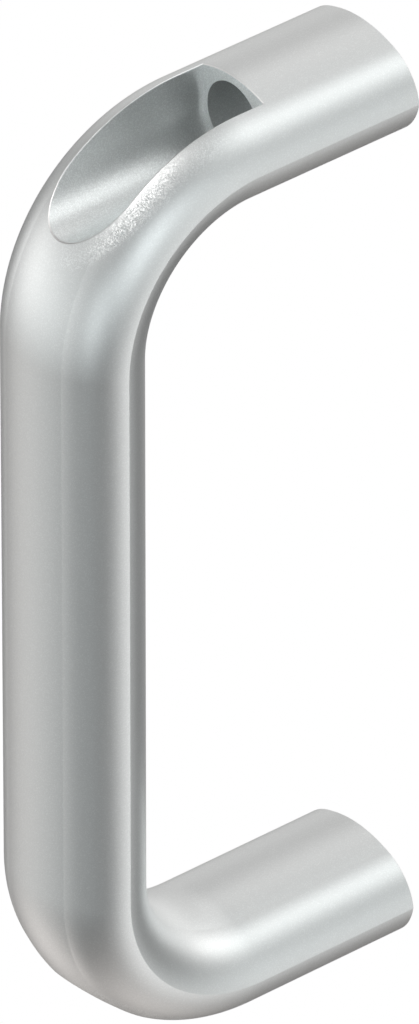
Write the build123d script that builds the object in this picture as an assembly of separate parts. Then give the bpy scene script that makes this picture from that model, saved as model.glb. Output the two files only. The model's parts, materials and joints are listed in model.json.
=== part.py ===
from build123d import *
import math
import os

# Bow handle bent from one oval aluminium bar, in millimetres.
# X runs across the bar, +Y points into the door or drawer front, +Z runs up along the grip.
# The origin lies on the mounting plane, midway between the two screw holes.

# Bar section
bar_width = 20.0
bar_thickness = 13.0
crown_width = 9.8  # between the soft creases where the crown meets the flanks
crown_radius = 14.5
crease_angle = 4.8  # degrees that the skin turns back at each crease

# Bow
screw_spacing = 112.0
screw_offset = 0.9  # each screw axis lies this far outside the axis of its leg
projection = 48.5  # mounting plane to the front of the grip
inner_bend_radius = 12.9

# Screw pockets
pocket_width = 10.5
pocket_offset = 0.5  # the round end of each pocket is centred this far outside the axis of its leg
pocket_reach = 3.8  # how far a pocket runs past the bend into the straight of its leg
head_bore = 9.0
head_seat = 8.0  # mounting plane to the seat of the screw head
screw_hole = 5.5

# Edges
end_break = 0.1  # round each leg end
lip_break = 0.1  # radius round each pocket and screw hole
cut_margin = 2.0  # how far a cutter runs past the surface that it breaks

# Worked out from the sizes above
half_width = bar_width / 2
half_thickness = bar_thickness / 2
leg_height = screw_spacing / 2 - screw_offset
grip_depth = projection - half_thickness
bend_radius = inner_bend_radius + half_thickness
leg_straight = grip_depth - bend_radius
pocket_floor = leg_straight - pocket_reach

# Corner of the section where the crown meets the right flank
crease_x = crown_width / 2
crease_y = half_thickness - crown_radius + math.sqrt(crown_radius**2 - crease_x**2)
flank_slope = math.asin(crease_x / crown_radius) - math.radians(crease_angle)

# The rounded lip of a pocket stays on the strip of skin between the pocket's side and the crease
lip_radius = min(lip_break, abs(crease_x - pocket_width / 2) / 2)


def oval_section():
    """Oval of two crown arcs and four flank arcs, creased where they meet and with a ridge on each side."""
    crown = ThreePointArc((-crease_x, crease_y), (0, half_thickness), (crease_x, crease_y))
    flanks = [
        TangentArc(
            (side * crease_x, crease_y),
            (side * half_width, 0),
            tangent=(side * math.cos(flank_slope), -math.sin(flank_slope)),
        )
        for side in (1, -1)
    ]
    upper_half = Curve() + [crown, *flanks]
    outline = upper_half + mirror(upper_half, about=Plane.XZ)
    return make_face(outline.edges())


def bent_bar():
    """Oval bar swept along one leg, the grip and the other leg, with a broken edge round each end."""
    path = FilletPolyline(
        (0, -end_break, leg_height),
        (0, -grip_depth, leg_height),
        (0, -grip_depth, -leg_height),
        (0, -end_break, -leg_height),
        radius=bend_radius,
    )
    section = oval_section()
    narrowing = ((half_width - end_break) / half_width, (half_thickness - end_break) / half_thickness, 1)
    foot = Pos(0, 0, end_break) * scale(section, by=narrowing)
    leg_ends = [
        Plane(origin=(0, -end_break, side * leg_height), x_dir=(1, 0, 0), z_dir=(0, 1, 0))
        for side in (1, -1)
    ]
    bar = sweep(leg_ends[0] * section, path=path)
    for leg_end in leg_ends:
        bar += loft([leg_end * section, leg_end * foot], ruled=True)
    return bar


def screw_cutter(side):
    """Pocket, head bore and screw hole of one leg; side is 1 for the upper leg and -1 for the lower."""
    screw_axis = Plane(
        origin=(0, 0, side * screw_spacing / 2),
        x_dir=(side, 0, 0),
        z_dir=(0, -1, 0),
    )
    mouth = bar_thickness
    length = projection + cut_margin

    pocket_outline = Circle(pocket_width / 2)
    pocket_outline += Pos(0, mouth / 2) * Rectangle(pocket_width, mouth)
    pocket_end = Pos(0, pocket_offset - screw_offset, pocket_floor)
    pocket = extrude(pocket_end * pocket_outline, length - pocket_floor)
    head = extrude(Pos(0, 0, head_seat) * Circle(head_bore / 2), length - head_seat)
    shank = extrude(Pos(0, 0, -cut_margin) * Circle(screw_hole / 2), length + cut_margin)
    return screw_axis * (pocket + head + shank)


def bow_handle():
    """Bent bar with a screw pocket let into the outside of each bend."""
    bar = bent_bar()
    cutters = [screw_cutter(side) for side in (1, -1)]
    handle = bar - cutters
    lips = new_edges(bar, *cutters, combined=handle)
    return fillet(lips, lip_radius)


os.makedirs("parts", exist_ok=True)
export_step(bow_handle(), "parts/bow_handle.step")
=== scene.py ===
import bpy
import json
import math
from mathutils import Matrix, Vector


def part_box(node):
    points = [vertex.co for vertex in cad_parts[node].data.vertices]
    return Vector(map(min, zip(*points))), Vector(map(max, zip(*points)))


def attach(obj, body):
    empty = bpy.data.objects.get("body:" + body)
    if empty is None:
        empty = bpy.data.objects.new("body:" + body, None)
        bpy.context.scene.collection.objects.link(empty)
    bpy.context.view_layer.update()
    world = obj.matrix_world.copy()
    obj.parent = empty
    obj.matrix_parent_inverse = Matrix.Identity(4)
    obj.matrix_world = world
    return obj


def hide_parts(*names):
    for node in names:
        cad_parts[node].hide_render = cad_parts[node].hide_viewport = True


# Bow handle of blasted and anodised aluminium.
# Lengths are in metres, and angles are in radians unless a comment says degrees.
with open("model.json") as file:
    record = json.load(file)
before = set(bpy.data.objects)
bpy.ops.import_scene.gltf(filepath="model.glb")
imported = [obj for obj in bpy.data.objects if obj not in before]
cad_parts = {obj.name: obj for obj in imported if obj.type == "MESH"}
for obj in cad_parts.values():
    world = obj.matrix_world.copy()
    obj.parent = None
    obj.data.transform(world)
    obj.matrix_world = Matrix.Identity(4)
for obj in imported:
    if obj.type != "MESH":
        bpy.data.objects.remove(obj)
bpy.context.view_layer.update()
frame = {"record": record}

# Sizes of the bar and its pockets that the frame's box and mounts don't give
BAR_THICKNESS = 0.0130
CROWN_HALF = 0.0049  # half the width between the creases
CROWN_RADIUS = 0.0145
CREASE_ANGLE = math.radians(4.8)
INNER_BEND_RADIUS = 0.0129
POCKET_HALF = 0.00525  # half the pocket's width
POCKET_OFFSET = 0.0005  # the pocket's round end is centred this far outside the leg's axis
POCKET_REACH = 0.0038  # how far the pocket runs past the bend into the leg
HEAD_BORE_RADIUS = 0.0045
HEAD_SEAT = 0.0080  # mounting plane to the seat of the screw head
END_BREAK = 0.0001  # round each leg end
LIP_RADIUS = 0.00013  # round each pocket and screw hole

# Segments of the fine mesh
FLANK_STEPS = 48
CROWN_STEPS = 30
MOUTH_CROWN_STEPS = 44
MOUTH_FLANK_STEPS = 12
BORE_STEPS = 128
UPPER_BEND_STEPS = 26
LOWER_BEND_STEPS = 60
LIP_STEPS = 4

# Finish of the bar: fine blasted grains that each lean a little at random, with painted glints where a few
# of them are made brighter in colour
GRAIN_SIZE = 0.00010
GRAIN_MEAN = (0.5, 0.5, 0.5)  # middle of the grains' random directions
SKIN_LEAN = 0.04
POCKET_LEAN = 0.13
LIP_LEAN = 0.35  # at most, on top of the skin's
LIP_REACH = 0.0028  # how far from a pocket the grains lean more
LIP_FADE = math.radians(30)  # stretch of the bend over which that lean grows
ROUGHNESS = 0.45
ROUGHNESS_SPREAD = 0.08
# Painted glints: a rare few grains get a brighter colour, past white up to the cap, most where the grains
# lean most
SPARKLE_RARITY = 4
SPARKLE_GAIN = 2.5
SPARKLE_CAP = 1.17
ALUMINIUM = (0.81, 0.835, 0.835, 1)
# Colour of each pocket's lip: rubbed bare metal, made brighter still as a painted highlight along the lip
WORN_EDGE_AND_HIGHLIGHT = (0.98, 0.99, 0.99, 1)

# Camera at the photograph's viewing angle, on a long lens
AZIMUTH = math.radians(50.5)
ELEVATION = math.radians(34.33)
CAMERA_DISTANCE = 2.2
CLIP_DISTANCE = 4 * CAMERA_DISTANCE
AIM_RIGHT = -0.01713  # from the origin to the middle of the picture, to the right and up in it
AIM_UP = -0.00437
FRAME_HEIGHT = 0.1163  # of what the picture takes in at the handle

# Soft light from far away, as round lobes of the surroundings.
# Each has its azimuth and elevation in degrees, how narrow it is, its strength at the middle and its tint.
COOL = (0.96, 1.00, 1.01)
PLAIN = (0.98, 0.995, 0.99)
WARM = (1.01, 0.985, 0.975)
FROM_FLOOR = (1.06, 0.975, 0.935)
LIGHTS = {
    "top": (-4, 65, 27, 4.50, WARM),
    "front_left": (-56, 0, 14, 1.45, WARM),
    "front": (-17, -3, 7, 1.00, PLAIN),
    "front_right": (35, -3, 29, 1.80, COOL),
    "right": (74, 16, 27, 2.65, COOL),
    "right_rear": (118, -2, 11, 1.05, PLAIN),
    "right_below": (113, -41, 19, 1.40, WARM),
    "right_back_top": (145, 50, 18, 2.00, PLAIN),
    "back_top": (173, 26, 23, 1.85, WARM),
    "left_back": (-154, -3, 9, 1.05, WARM),
    "left_back_top": (-141, 45, 28, 1.40, WARM),
    "left": (-111, 9, 20, 0.90, WARM),
    "left_floor": (-65, -54, 22, 1.15, FROM_FLOOR),
    "floor": (100, -82, 16, 0.90, FROM_FLOOR),
}

# White floor and surroundings, which only the camera sees
WHITE = (1, 1, 1, 1)
FLOOR_SIZE = 40.0

# Places and sizes from the frame
MM_PER_METRE = 1000
low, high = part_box("bow_handle")
screws = next(m for m in frame["record"]["mounts"] if m["name"] == "screw_holes")["dims"]
SCREW_Z = screws["spacing_y_mm"] / 2 / MM_PER_METRE
HOLE_RADIUS = screws["hole_r_mm"] / MM_PER_METRE
HALF_WIDTH = (high.x - low.x) / 2
HALF_THICKNESS = BAR_THICKNESS / 2
LEG_Z = high.z - HALF_THICKNESS
GRIP_Y = low.y + HALF_THICKNESS
BEND_RADIUS = INNER_BEND_RADIUS + HALF_THICKNESS
BEND_Y = GRIP_Y + BEND_RADIUS
BEND_Z = LEG_Z - BEND_RADIUS
FLOOR_Y = BEND_Y + POCKET_REACH
LIP_Y = FLOOR_Y + LIP_RADIUS
POCKET_Z = LEG_Z + POCKET_OFFSET
MOUTH_HALF = POCKET_HALF + LIP_RADIUS

# Arcs of the oval section, in X and in the depth from the bar's axis to the outside of the bow.
# Angles are taken from the X axis. The flank arc starts at the crease and ends at the side ridge.
CROWN_DEPTH = HALF_THICKNESS - CROWN_RADIUS
CREASE_DEPTH = CROWN_DEPTH + math.sqrt(CROWN_RADIUS**2 - CROWN_HALF**2)
CROWN_END = math.acos(CROWN_HALF / CROWN_RADIUS)
FLANK_START = CROWN_END + CREASE_ANGLE
CHORD = math.hypot(HALF_WIDTH - CROWN_HALF, CREASE_DEPTH)
RIDGE_LEAN = 2 * math.atan2(HALF_WIDTH - CROWN_HALF, CREASE_DEPTH) - FLANK_START
FLANK_RADIUS = CHORD / (2 * math.sin((FLANK_START - RIDGE_LEAN) / 2))
FLANK_X = HALF_WIDTH - FLANK_RADIUS * math.cos(RIDGE_LEAN)
FLANK_DEPTH = -FLANK_RADIUS * math.sin(RIDGE_LEAN)

# Directions, the screw's axis and room for rounding
QUARTER_TURN = math.pi / 2
TOWARDS_GRIP = Vector((0, -1, 0))
TOWARDS_DOOR = Vector((0, 1, 0))
SCREW_AXIS = Vector((0, 0, SCREW_Z))
HAIR = 1e-6
SAME_POINT = 1e8  # steps in a metre; points that round to the same step are one


def mirrored(vector, flip):
    """The same vector, or its mirror image below for a flip of -1."""
    return Vector((vector[0], vector[1], vector[2] * flip))


def rounded_key(where):
    """Key that points at the same place share."""
    return tuple(round(c * SAME_POINT) for c in where)


def unique(points):
    return list({rounded_key(p): p for p in points}.values())


def turn(where):
    """Angle of a point about the screw's axis."""
    offset = where - SCREW_AXIS
    return math.atan2(offset.z, offset.x)


def steps(first, last, count):
    """Evenly spaced values with both ends."""
    return [first + (last - first) * i / count for i in range(count + 1)]


class Surface:
    """Mesh in the making: faces with a normal at each corner, on shared points."""

    def __init__(self):
        self.points = []
        self.places = {}
        self.faces = []
        self.normals = []

    def point(self, where):
        """Number of the point at a place, which is added if it is new."""
        key = rounded_key(where)
        if key not in self.places:
            self.places[key] = len(self.points)
            self.points.append(tuple(where))
        return self.places[key]

    def face(self, corners):
        """Adds a face and its mirror image below, turned to the side that its normals point to."""
        for flip in (1, -1):
            self.one_face([(mirrored(p, flip), mirrored(n, flip)) for p, n in corners])

    def one_face(self, corners):
        """Adds a face without the corners that fall together."""
        kept = {}
        for where, normal in corners:
            kept.setdefault(self.point(where), normal)
        if len(kept) < 3:
            return
        order = list(kept)
        a, b, c = (Vector(self.points[at]) for at in order[:3])
        facing = sum(kept.values(), Vector())
        if (b - a).cross(c - a).dot(facing) < 0:
            order.reverse()
        self.faces.append(order)
        self.normals += [kept[at].normalized() for at in order]

    def strip(self, first, second):
        """Adds quads between two rows of (point, normal)."""
        for i in range(len(first) - 1):
            self.face([first[i], first[i + 1], second[i + 1], second[i]])

    def rows(self, rows):
        """Adds quads between each row of (point, normal) and the next."""
        for first, second in zip(rows, rows[1:]):
            self.strip(first, second)

    def ring(self, outer, inner, normal):
        """Fills the flat band between two closed loops of points round the screw's axis."""
        loops = []
        for points in (outer, inner):
            loop = sorted(((turn(p), (p, normal)) for p in points), key=lambda item: item[0])
            first_turn, first_corner = loop[0]
            loops.append(loop + [(first_turn + math.tau, first_corner)])
        outer, inner = loops
        i = j = 0
        while i < len(outer) - 1 or j < len(inner) - 1:
            corners = [outer[i][1], inner[j][1]]
            inner_done = j == len(inner) - 1
            if inner_done or (i < len(outer) - 1 and outer[i + 1][0] < inner[j + 1][0]):
                i += 1
                corners.append(outer[i][1])
            else:
                j += 1
                corners.append(inner[j][1])
            self.face(corners)

    def mesh(self, name):
        mesh = bpy.data.meshes.new(name)
        mesh.from_pydata(self.points, [], self.faces)
        mesh.normals_split_custom_set(self.normals)
        return mesh


# A station is a point of the bar's axis and the direction from there to the outside of the bow
GRIP_STATION = (Vector((0, GRIP_Y, 0)), TOWARDS_GRIP)


def bend_station(angle):
    """Station at an angle of the upper bend, which starts at the leg."""
    out = Vector((0, -math.sin(angle), math.cos(angle)))
    return Vector((0, BEND_Y, BEND_Z)) + out * BEND_RADIUS, out


def leg_station(y):
    return Vector((0, y, LEG_Z)), Vector((0, 0, 1))


def place(station, x, depth, nx, nd):
    """Point and normal at a station, from a section point's x and depth and its normal's x and depth."""
    axis, out = station
    return axis + Vector((x, 0, 0)) + out * depth, Vector((nx, 0, 0)) + out * nd


def arc(x, depth, radius, first, last, count):
    """Section points on one arc."""
    return [
        (x + radius * math.cos(a), depth + radius * math.sin(a), math.cos(a), math.sin(a))
        for a in steps(first, last, count)
    ]


def crown(x):
    """Section point on the outer crown at a given x."""
    rise = math.sqrt(CROWN_RADIUS**2 - x**2)
    return x, CROWN_DEPTH + rise, x / CROWN_RADIUS, rise / CROWN_RADIUS


def flank(x):
    """Section point on an outer flank at a given x."""
    side = math.copysign(1, x)
    across = abs(x) - FLANK_X
    rise = math.sqrt(FLANK_RADIUS**2 - across**2)
    return x, FLANK_DEPTH + rise, side * across / FLANK_RADIUS, rise / FLANK_RADIUS


def section_arcs():
    """Arcs of the section round the bar, from one side of the pocket's mouth to the other."""
    mouth_angle = math.acos((MOUTH_HALF - FLANK_X) / FLANK_RADIUS)
    right = [
        arc(FLANK_X, FLANK_DEPTH, FLANK_RADIUS, mouth_angle, RIDGE_LEAN, FLANK_STEPS),
        arc(FLANK_X, -FLANK_DEPTH, FLANK_RADIUS, -RIDGE_LEAN, -FLANK_START, FLANK_STEPS),
    ]
    inner = arc(0, -CROWN_DEPTH, CROWN_RADIUS, -CROWN_END, CROWN_END - math.pi, CROWN_STEPS)
    left = [[(-x, d, -nx, nd) for x, d, nx, nd in reversed(points)] for points in reversed(right)]
    return right + [inner] + left


def bend_end(radius):
    """Bend angle where a circle of this radius is level with the centre of the pocket's round end."""
    return math.acos((POCKET_Z - BEND_Z) / radius)


def mouth_rows(half, drop):
    """Rows of (section point, bend angle) round the pocket's mouth, for flank, crown and flank.

    half is half the width of the mouth, and drop how far the rows lie under the outer skin.
    """
    crease = math.asin(CROWN_HALF / half)
    parts = [
        (flank, QUARTER_TURN, crease, MOUTH_FLANK_STEPS),
        (crown, crease, -crease, MOUTH_CROWN_STEPS),
        (flank, -crease, -QUARTER_TURN, MOUTH_FLANK_STEPS),
    ]
    rows = []
    for skin, first, last, count in parts:
        row = []
        for around in steps(first, last, count):
            x, depth, nx, nd = skin(half * math.sin(around))
            height = POCKET_Z - half * math.cos(around) - BEND_Z
            angle = math.acos(height / (BEND_RADIUS + depth - drop))
            row.append(((x, depth - drop, nx, nd), angle))
        rows.append(row)
    return rows


def lip_rows():
    """Mouth rows of the skin, the corner and the wall at the pocket's lip, for flank, crown and flank."""
    return zip(mouth_rows(MOUTH_HALF, 0), mouth_rows(POCKET_HALF, 0), mouth_rows(POCKET_HALF, LIP_RADIUS))


def side_row(x, drop, floor_y):
    """Points and normals along a straight side of the pocket, from its floor to its round end."""
    x, depth, nx, nd = flank(x)
    angles = steps(0, bend_end(BEND_RADIUS + depth - drop), UPPER_BEND_STEPS)
    stations = [leg_station(floor_y)] + [bend_station(a) for a in angles]
    return [place(s, x, depth - drop, nx, nd) for s in stations]


def rubbed(share):
    """Share of an edge's turn that its normals have made: close to a half over most of the edge."""
    return 0.5 + 4 * (share - 0.5) ** 3


def rounded(skin, corner, wall):
    """Rows of a small round between two rows of (point, normal), over the corner points between them."""
    rows = []
    for t in steps(0, 1, LIP_STEPS):
        row = []
        for (a, na), b, (c, nc) in zip(skin, corner, wall):
            where = a * (1 - t) ** 2 + b * 2 * t * (1 - t) + c * t**2
            row.append((where, na.lerp(nc, rubbed(t)).normalized()))
        rows.append(row)
    return rows


def outer_skin(surface):
    """Skin of the bar, open at the pocket's mouth."""
    mouth_end = bend_end(BEND_RADIUS + flank(MOUTH_HALF)[1])
    leg = [leg_station(y) for y in (-END_BREAK, LIP_Y)]
    angles = steps(0, mouth_end, UPPER_BEND_STEPS) + steps(mouth_end, QUARTER_TURN, LOWER_BEND_STEPS)[1:]
    stations = leg + [bend_station(a) for a in angles] + [GRIP_STATION]
    for points in section_arcs():
        surface.rows([[place(s, *p) for p in points] for s in stations])

    for mouth in mouth_rows(MOUTH_HALF, 0):
        surface.rows([[place(s, *p) for p, angle in mouth] for s in leg])
        below = []
        for share in steps(0, 1, LOWER_BEND_STEPS):
            below.append([place(bend_station(a + (QUARTER_TURN - a) * share), *p) for p, a in mouth])
        below.append([place(GRIP_STATION, *p) for p, angle in mouth])
        surface.rows(below)


def wall_to_floor(surface, wall):
    """Wall of the pocket from its lip to its floor, and returns the edge of the floor."""
    bottom = [(Vector((w.x, FLOOR_Y, w.z)), normal) for w, normal in wall]
    surface.strip(wall, bottom)
    return [w for w, normal in bottom]


def round_end(surface):
    """Lip and wall of the pocket's round end, and returns the edge of the floor."""
    floor_edge = []
    for skin_row, corner_row, wall_row in lip_rows():
        skin = [place(bend_station(a), *p) for p, a in skin_row]
        corner = [place(bend_station(a), *p)[0] for p, a in corner_row]
        top = [place(bend_station(a), *p)[0] for p, a in wall_row]
        wall = [(w, Vector((-w.x, 0, POCKET_Z - w.z)).normalized()) for w in top]
        surface.rows(rounded(skin, corner, wall))
        floor_edge += wall_to_floor(surface, wall)
    return floor_edge


def straight_side(surface, side):
    """Lip and wall of the pocket's side at +X (1) or -X (-1), and returns the edge of the floor."""
    inward = Vector((-side, 0, 0))
    skin = side_row(side * MOUTH_HALF, 0, LIP_Y)
    corner = [w for w, normal in side_row(side * POCKET_HALF, 0, FLOOR_Y)]
    wall = [(w, inward) for w, normal in side_row(side * POCKET_HALF, LIP_RADIUS, FLOOR_Y)]
    surface.rows(rounded(skin, corner, wall))
    return wall_to_floor(surface, wall[1:])


def leg_lip(surface):
    """Lip between the pocket's floor and the skin of the leg, and returns the edge of the floor."""
    floor_edge = []
    on_lip, on_floor = leg_station(LIP_Y), leg_station(FLOOR_Y)
    for skin_row, corner_row, wall_row in lip_rows():
        skin = [place(on_lip, *p) for p, angle in skin_row]
        corner = [place(on_floor, *p)[0] for p, angle in corner_row]
        wall = [(place(on_floor, *p)[0], TOWARDS_GRIP) for p, angle in wall_row]
        surface.rows(rounded(skin, corner, wall))
        floor_edge += [w for w, normal in wall]
    return floor_edge


def pocket(surface):
    """Walls and rounded lip of the pocket, and returns the edge of its floor."""
    return round_end(surface) + straight_side(surface, 1) + straight_side(surface, -1) + leg_lip(surface)


BORE_ANGLES = steps(0, math.tau, BORE_STEPS)[:-1]


def circle(radius, y):
    """Points of a circle about the screw's axis."""
    return [Vector((radius * math.cos(a), y, SCREW_Z + radius * math.sin(a))) for a in BORE_ANGLES]


def closed(row):
    """Row that ends where it starts."""
    return row + row[:1]


def bore_row(radius, y):
    """Closed row of points and normals round the wall of a hole about the screw's axis."""
    inward = [Vector((-math.cos(a), 0, -math.sin(a))) for a in BORE_ANGLES]
    return closed(list(zip(circle(radius, y), inward)))


def screw_holes(surface, floor_edge):
    """Pocket floor, head bore, its seat and the screw hole, and returns the hole's edge on the foot."""
    surface.ring(unique(floor_edge), circle(HEAD_BORE_RADIUS, FLOOR_Y), TOWARDS_GRIP)
    surface.rows([bore_row(HEAD_BORE_RADIUS, y) for y in (FLOOR_Y, -HEAD_SEAT)])
    surface.ring(circle(HEAD_BORE_RADIUS, -HEAD_SEAT), circle(HOLE_RADIUS, -HEAD_SEAT), TOWARDS_GRIP)
    surface.rows([bore_row(HOLE_RADIUS, y) for y in (-HEAD_SEAT, -LIP_RADIUS)])

    hole_edge = circle(HOLE_RADIUS + LIP_RADIUS, 0)
    on_foot = closed([(p, TOWARDS_DOOR) for p in hole_edge])
    corner = closed(circle(HOLE_RADIUS, 0))
    surface.rows(rounded(on_foot, corner, bore_row(HOLE_RADIUS, -LIP_RADIUS)))
    return hole_edge


def foot(surface, hole_edge):
    """Flat end of the leg with its broken edge."""
    outer, inner = leg_station(-END_BREAK), leg_station(0)
    narrow_x = (HALF_WIDTH - END_BREAK) / HALF_WIDTH
    narrow_depth = (HALF_THICKNESS - END_BREAK) / HALF_THICKNESS
    arcs = section_arcs() + [[p for p, angle in row] for row in mouth_rows(MOUTH_HALF, 0)]
    foot_edge = []
    for points in arcs:
        first, second = [], []
        for x, depth, nx, nd in points:
            where, normal = place(outer, x, depth, nx, nd)
            normal = (normal + TOWARDS_DOOR).normalized()
            first.append((where, normal))
            second.append((place(inner, x * narrow_x, depth * narrow_depth, nx, nd)[0], normal))
        surface.strip(first, second)
        foot_edge += [w for w, normal in second]
    surface.ring(unique(foot_edge), hole_edge, TOWARDS_DOOR)


def pocket_gap(where):
    """How far a point lies outside the outline of a pocket, seen along Y."""
    return math.hypot(where.x, min(abs(where.z) - POCKET_Z, 0)) - POCKET_HALF


def grain_lean(where):
    """How far the blasted grains lean: most on the +X side of a pocket, less in it and little elsewhere."""
    height = abs(where.z)
    gap = pocket_gap(where)
    in_bore = math.hypot(where.x, height - SCREW_Z) < HEAD_BORE_RADIUS + HAIR
    if in_bore or (where.y < FLOOR_Y + HAIR and gap < HAIR):
        return POCKET_LEAN
    outside_bend = math.hypot(where.y - BEND_Y, height - BEND_Z) > BEND_RADIUS
    if where.y > BEND_Y or not outside_bend or where.x < 0 or gap > LIP_REACH:
        return SKIN_LEAN
    across = gap / LIP_REACH
    along = min(math.atan2(BEND_Y - where.y, height - BEND_Z) / LIP_FADE, 1)
    sideways = min(where.x / CROWN_HALF, 1)
    return SKIN_LEAN + LIP_LEAN * 4 * across * (1 - across) * (along * sideways) ** 2


def edge_wear_and_highlight(where):
    """1 on the rounded lip of a pocket, whose colour is made brighter there as rubbed wear and as a painted
    highlight, and 0 elsewhere.
    """
    beside_pocket = where.y < FLOOR_Y + HAIR and HAIR < pocket_gap(where) < LIP_RADIUS - HAIR
    above_floor = FLOOR_Y + HAIR < where.y < LIP_Y - HAIR
    return float(beside_pocket or above_floor)


def handle_mesh():
    surface = Surface()
    outer_skin(surface)
    floor_edge = pocket(surface)
    hole_edge = screw_holes(surface, floor_edge)
    foot(surface, hole_edge)
    mesh = surface.mesh("handle_skin")
    for name, value_at in (("grain_lean", grain_lean), ("edge_wear_and_highlight", edge_wear_and_highlight)):
        values = mesh.attributes.new(name, "FLOAT", "POINT")
        for vertex, value in zip(mesh.vertices, values.data):
            value.value = value_at(vertex.co)
    return mesh


# Kinds of node that calculate
NUMBER = "ShaderNodeMath"
VECTOR = "ShaderNodeVectorMath"


def feed(tree, socket, value):
    """Links an output to an input, or sets the input to a plain value."""
    if isinstance(value, bpy.types.NodeSocket):
        tree.links.new(value, socket)
    else:
        socket.default_value = value


def calculate(tree, kind, operation, *values):
    """Result of a new node that calculates with numbers, vectors or the outputs of other nodes."""
    node = tree.nodes.new(kind)
    node.operation = operation
    inputs = [socket for socket in node.inputs if socket.enabled]
    for socket, value in zip(inputs, values):
        feed(tree, socket, value)
    return next(socket for socket in node.outputs if socket.enabled)


def attribute(tree, name):
    """Value of an attribute of the mesh."""
    node = tree.nodes.new("ShaderNodeAttribute")
    node.attribute_name = name
    return node.outputs["Fac"]


def leaning_normal(tree, grain, lean):
    """Normal of the surface, tilted at random on each grain."""
    tilt = calculate(tree, VECTOR, "SUBTRACT", grain.outputs["Color"], GRAIN_MEAN)
    tilt = calculate(tree, VECTOR, "SCALE", tilt, lean)
    normal = tree.nodes.new("ShaderNodeNewGeometry").outputs["Normal"]
    return calculate(tree, VECTOR, "NORMALIZE", calculate(tree, VECTOR, "ADD", normal, tilt))


def grain_colour(tree, grain, lean):
    """Colour of the metal, brighter on the rubbed lip edges as wear and as a painted highlight, and
    brighter on a few grains where they lean most as painted glints.
    """
    metal = tree.nodes.new("ShaderNodeValToRGB")
    metal.color_ramp.elements[0].color = ALUMINIUM
    metal.color_ramp.elements[1].color = WORN_EDGE_AND_HIGHLIGHT
    # The lip's brighter colour is a painted highlight as well as rubbed wear
    feed(tree, metal.inputs["Fac"], attribute(tree, "edge_wear_and_highlight"))
    chance = tree.nodes.new("ShaderNodeTexWhiteNoise")
    feed(tree, chance.inputs["Vector"], grain.outputs["Position"])
    # Painted glints: rare grains brightened in colour, more where they lean more
    rare = calculate(tree, NUMBER, "POWER", chance.outputs["Value"], SPARKLE_RARITY)
    sparkle = calculate(tree, NUMBER, "MULTIPLY", rare, lean)
    gain = calculate(tree, NUMBER, "MULTIPLY_ADD", sparkle, SPARKLE_GAIN, 1)
    capped = calculate(tree, NUMBER, "MINIMUM", gain, SPARKLE_CAP)
    return calculate(tree, VECTOR, "SCALE", metal.outputs["Color"], capped)


def grain_roughness(tree, grain):
    """Roughness that differs a little from grain to grain."""
    spread = tree.nodes.new("ShaderNodeMapRange")
    spread.inputs["To Min"].default_value = ROUGHNESS - ROUGHNESS_SPREAD / 2
    spread.inputs["To Max"].default_value = ROUGHNESS + ROUGHNESS_SPREAD / 2
    feed(tree, spread.inputs["Value"], grain.outputs["Color"])
    return spread.outputs["Result"]


def aluminium_material():
    material = bpy.data.materials.new("blasted_aluminium")
    material.use_nodes = True
    tree = material.node_tree
    shader = tree.nodes["Principled BSDF"]
    shader.inputs["Metallic"].default_value = 1

    grain = tree.nodes.new("ShaderNodeTexVoronoi")
    grain.inputs["Scale"].default_value = 1 / GRAIN_SIZE
    feed(tree, grain.inputs["Vector"], tree.nodes.new("ShaderNodeTexCoord").outputs["Object"])
    lean = attribute(tree, "grain_lean")
    feed(tree, shader.inputs["Normal"], leaning_normal(tree, grain, lean))
    feed(tree, shader.inputs["Base Color"], grain_colour(tree, grain, lean))
    feed(tree, shader.inputs["Roughness"], grain_roughness(tree, grain))
    return material


def add_handle():
    handle = bpy.data.objects.new("handle_skin", handle_mesh())
    handle.data.materials.append(aluminium_material())
    bpy.context.scene.collection.objects.link(handle)
    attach(handle, "root")
    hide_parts("bow_handle")


def towards(azimuth, elevation):
    """Direction to a place round the handle; azimuth 0 is in front of the grip, a quarter turn is at +X."""
    level = Vector((math.sin(azimuth), -math.cos(azimuth), 0))
    return level * math.cos(elevation) + Vector((0, 0, math.sin(elevation)))


def add_camera():
    back = towards(AZIMUTH, ELEVATION)
    right = Vector((math.cos(AZIMUTH), math.sin(AZIMUTH), 0))
    up = back.cross(right)
    data = bpy.data.cameras.new("camera")
    data.lens = data.sensor_width * CAMERA_DISTANCE / FRAME_HEIGHT
    data.clip_end = CLIP_DISTANCE
    camera = bpy.data.objects.new("camera", data)
    where = right * AIM_RIGHT + up * AIM_UP + back * CAMERA_DISTANCE
    turned = Matrix((right, up, back)).transposed().to_4x4()
    camera.matrix_world = Matrix.Translation(where) @ turned
    bpy.context.scene.collection.objects.link(camera)
    bpy.context.scene.camera = camera


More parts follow.
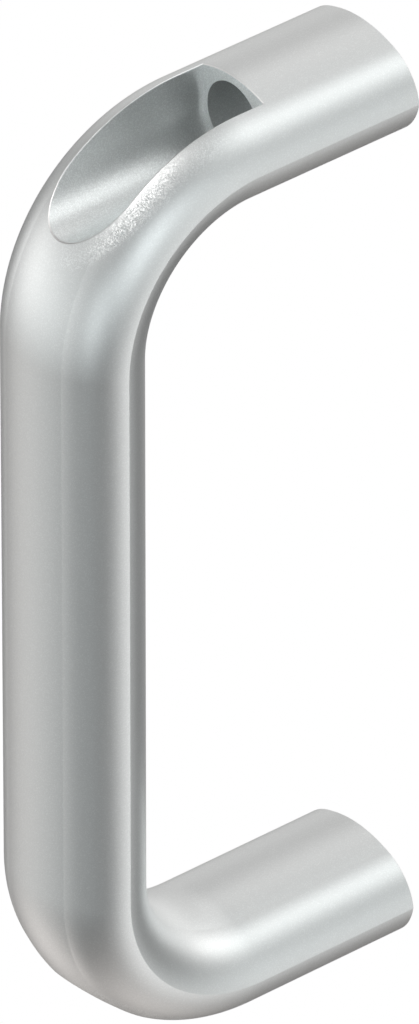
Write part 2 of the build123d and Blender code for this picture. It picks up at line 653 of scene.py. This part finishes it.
def white_material():
    white = bpy.data.materials.new("white_floor")
    white.use_nodes = True
    tree = white.node_tree
    tree.nodes.clear()
    glow = tree.nodes.new("ShaderNodeEmission")
    glow.inputs["Color"].default_value = WHITE
    out = tree.nodes.new("ShaderNodeOutputMaterial")
    feed(tree, out.inputs["Surface"], glow.outputs["Emission"])
    return white


def add_floor():
    half = FLOOR_SIZE / 2
    corners = [(x, y, low.z) for x, y in ((-half, -half), (half, -half), (half, half), (-half, half))]
    mesh = bpy.data.meshes.new("floor")
    mesh.from_pydata(corners, [], [(0, 1, 2, 3)])
    mesh.materials.append(white_material())
    floor = bpy.data.objects.new("floor", mesh)
    bpy.context.scene.collection.objects.link(floor)
    floor.visible_diffuse = False
    floor.visible_glossy = False
    floor.visible_shadow = False


def light_lobe(tree, direction, name, azimuth, elevation, narrowness, strength, tint):
    """Light that comes from a direction out of one round lobe."""
    middle = towards(math.radians(azimuth), math.radians(elevation))
    along = calculate(tree, VECTOR, "DOT_PRODUCT", direction, middle)
    along.node.label = name
    fall = calculate(tree, NUMBER, "MULTIPLY_ADD", along, narrowness, -narrowness)
    lobe = calculate(tree, NUMBER, "EXPONENT", fall)
    return calculate(tree, VECTOR, "SCALE", Vector(tint) * strength, lobe)


def add_world():
    """Lobes of light for the surfaces, and plain white for the camera."""
    world = bpy.data.worlds.new("studio")
    world.use_nodes = True
    tree = world.node_tree
    direction = tree.nodes.new("ShaderNodeTexCoord").outputs["Generated"]
    total, *others = [light_lobe(tree, direction, name, *light) for name, light in LIGHTS.items()]
    for lobe in others:
        total = calculate(tree, VECTOR, "ADD", total, lobe)
    light = tree.nodes["Background"]
    feed(tree, light.inputs["Color"], total)
    white = tree.nodes.new("ShaderNodeBackground")
    white.inputs["Color"].default_value = WHITE
    seen = tree.nodes.new("ShaderNodeMixShader")
    feed(tree, seen.inputs["Fac"], tree.nodes.new("ShaderNodeLightPath").outputs["Is Camera Ray"])
    feed(tree, seen.inputs[1], light.outputs["Background"])
    feed(tree, seen.inputs[2], white.outputs["Background"])
    feed(tree, tree.nodes["World Output"].inputs["Surface"], seen.outputs["Shader"])
    bpy.context.scene.world = world


add_handle()
add_camera()
add_floor()
add_world()
bpy.context.scene.view_settings.view_transform = "Standard"
